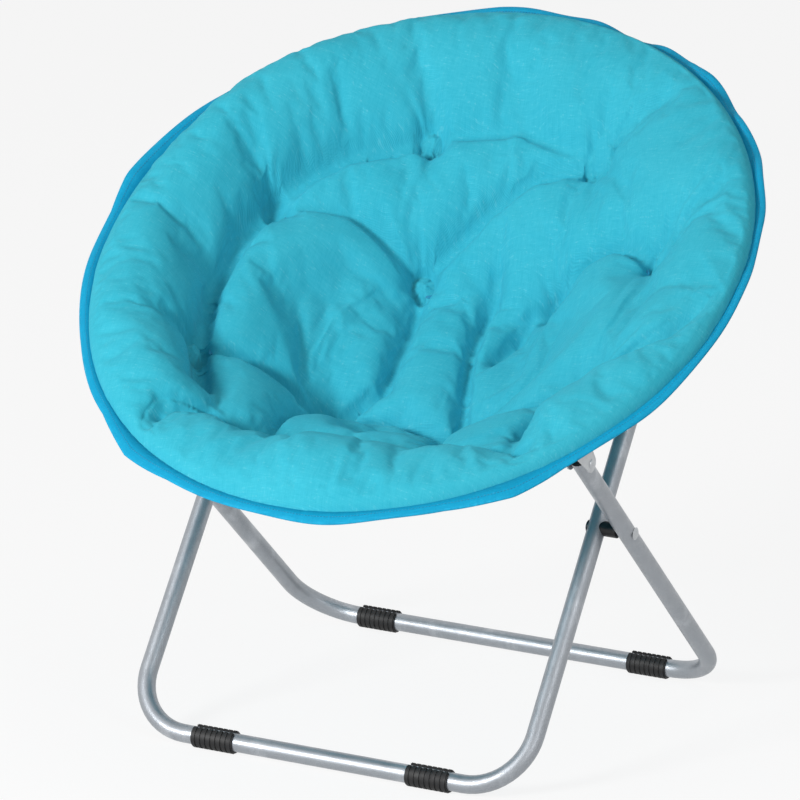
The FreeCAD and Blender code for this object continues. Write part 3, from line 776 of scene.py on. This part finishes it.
def makeSeam():
    # stitches on both faces of the binding, and the row that closes the ring's sleeve
    under = np.array(sorted(cushion["under"]))
    beneath = float(np.interp(seam["sleeve"], under[:, 0], under[:, 1])) - liningShape["gap"] - seam["under"]
    bm = bmesh.new()
    for r, z in ((seam["at"], seam["face"]), (seam["at"], -seam["face"]), (seam["sleeve"], beneath)):
        strand(bm, (r, 0, z), (0, 1, 0), seam["length"], seam["radius"], 6)
    steps = int(math.tau * seam["at"] / seam["spacing"]) - 1
    bmesh.ops.spin(bm, geom=[*bm.verts, *bm.edges, *bm.faces], cent=(0, 0, 0), axis=(0, 0, 1),
                   angle=math.tau * steps / (steps + 1), steps=steps, use_duplicate=True)
    wave(bm)
    piece = meshOf("seamStitches", bm)
    stand(piece.data)
    return piece


rim = makeBinding()
rim.data.materials.append(tape)
blendAcross(rim)
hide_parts("seat_binding_front", "seat_binding_rear")
stitches = makeSeam()
stitches.data.materials.append(threadFinish)
blendAcross(stitches)
print("binding made")

shot = {
    "azimuth": 27.66, "elevation": 16.69, "roll": .37, "distance": 8.15021,
    "target": (0, -.0361, .350), "aside": -.00483, "above": .04836, "lens": 309.04,
}


def makeCamera():
    a, e, roll = (math.radians(shot[k]) for k in ("azimuth", "elevation", "roll"))
    back = Vector((math.sin(a) * math.cos(e), -math.cos(a) * math.cos(e), math.sin(e)))
    right = Vector((math.cos(a), math.sin(a), 0))
    up = back.cross(right)
    place = Vector(shot["target"]) + back * shot["distance"]
    side = right * math.cos(roll) + up * math.sin(roll)
    top = up * math.cos(roll) - right * math.sin(roll)
    aim = Vector(shot["target"]) + side * shot["aside"] + top * shot["above"]
    back = (place - aim).normalized()
    side = (side - back * side.dot(back)).normalized()
    top = back.cross(side)
    camera = bpy.data.objects.new("photoCamera", bpy.data.cameras.new("photoCamera"))
    camera.matrix_world = Matrix.Translation(place) @ Matrix((side, top, back)).transposed().to_4x4()
    camera.data.lens, camera.data.sensor_width = shot["lens"], 36
    camera.data.clip_end = 100
    bpy.context.scene.collection.objects.link(camera)
    bpy.context.scene.camera = camera


studio = {
    "floorSize": 16, "floorGlow": .86,      # share of the floor that is seen as plain white
    "worldLight": .31, "worldSeen": 1,
}


def seenDirectly(finish):
    path = finish.node("ShaderNodeLightPath").socket.node
    wires = [Wire(finish, path.outputs[name]) for name in
             ("Is Camera Ray", "Is Glossy Ray", "Is Transmission Ray")]
    return (wires[0] + wires[1] + wires[2]).least(1)


def makeFloor():
    bm = bmesh.new()
    bmesh.ops.create_grid(bm, x_segments=1, y_segments=1, size=studio["floorSize"])
    floor = meshOf("studioFloor", bm, smooth=False)
    finish = Finish("paleFloor", roughness=.9, Specular_IOR_Level=0)
    spot = finish.place()
    finish.feed("Base Color", finish.tint(finish.speckle(spot, 3, 3), (.86, .86, .86), (.9, .9, .9)))
    glow = finish.node("ShaderNodeEmission", sockets={"Color": (1, 1, 1, 1), "Strength": 1})
    mixed = finish.node("ShaderNodeMixShader", sockets={
        0: seenDirectly(finish) * studio["floorGlow"], 1: Wire(finish, finish.shader.outputs[0]), 2: glow})
    output = next(n for n in finish.tree.nodes if n.type == "OUTPUT_MATERIAL")
    finish.tree.links.new(mixed.socket, output.inputs["Surface"])
    floor.data.materials.append(finish.material)


def makeLight(name, place, aim, size, power):
    lamp = bpy.data.lights.new(name, "AREA")
    lamp.shape, lamp.size, lamp.energy = "DISK", size, power
    holder = bpy.data.objects.new(name, lamp)
    holder.location = place
    holder.rotation_mode = "QUATERNION"
    holder.rotation_quaternion = (Vector(aim) - Vector(place)).to_track_quat("-Z", "Y")
    bpy.context.scene.collection.objects.link(holder)


def makeWorld():
    world = bpy.data.worlds.new("studio")
    bpy.context.scene.world = world
    world.use_nodes = True
    tree = world.node_tree
    shade = next(n for n in tree.nodes if n.type == "BACKGROUND")
    path = tree.nodes.new("ShaderNodeLightPath")
    seen = tree.nodes.new("ShaderNodeMath")
    seen.operation = "MAXIMUM"
    tree.links.new(path.outputs["Is Camera Ray"], seen.inputs[0])
    tree.links.new(path.outputs["Is Glossy Ray"], seen.inputs[1])
    seenAll = tree.nodes.new("ShaderNodeMath")
    seenAll.operation = "MAXIMUM"
    tree.links.new(seen.outputs[0], seenAll.inputs[0])
    tree.links.new(path.outputs["Is Transmission Ray"], seenAll.inputs[1])
    level = tree.nodes.new("ShaderNodeMapRange")
    level.inputs["To Min"].default_value = studio["worldLight"]
    level.inputs["To Max"].default_value = studio["worldSeen"]
    tree.links.new(seenAll.outputs[0], level.inputs["Value"])
    tree.links.new(level.outputs[0], shade.inputs["Strength"])
    shade.inputs["Color"].default_value = (1, 1, 1, 1)


makeCamera()
makeFloor()
makeLight("keySoft", (-1.6, -4.0, 1.9), (0, 0, .5), 1.3, 165)
makeLight("topSoft", (.6, .4, 4.2), (0, 0, .5), 2.2, 14)
makeLight("sideSoft", (3.4, -2.0, 2.0), (0, 0, .5), 1.8, 25)
makeWorld()
bpy.context.scene.view_settings.view_transform = "Standard"

finishes = {
    "leg_tube": silver, "ring_front_tube": silver, "ring_rear_tube": silver,
    "_foot_": rubber, "_plug_": plastic, "leg_spacer": plastic,
    "rivet": zinc, "bracket": zinc, "hinge": zinc, "seat_tacks": threadFinish,
}
for name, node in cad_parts.items():
    chosen = next((m for key, m in finishes.items() if key in name), None)
    if chosen:
        for index in range(len(node.data.materials)):
            node.material_slots[index].material = chosen
print("frame finished")
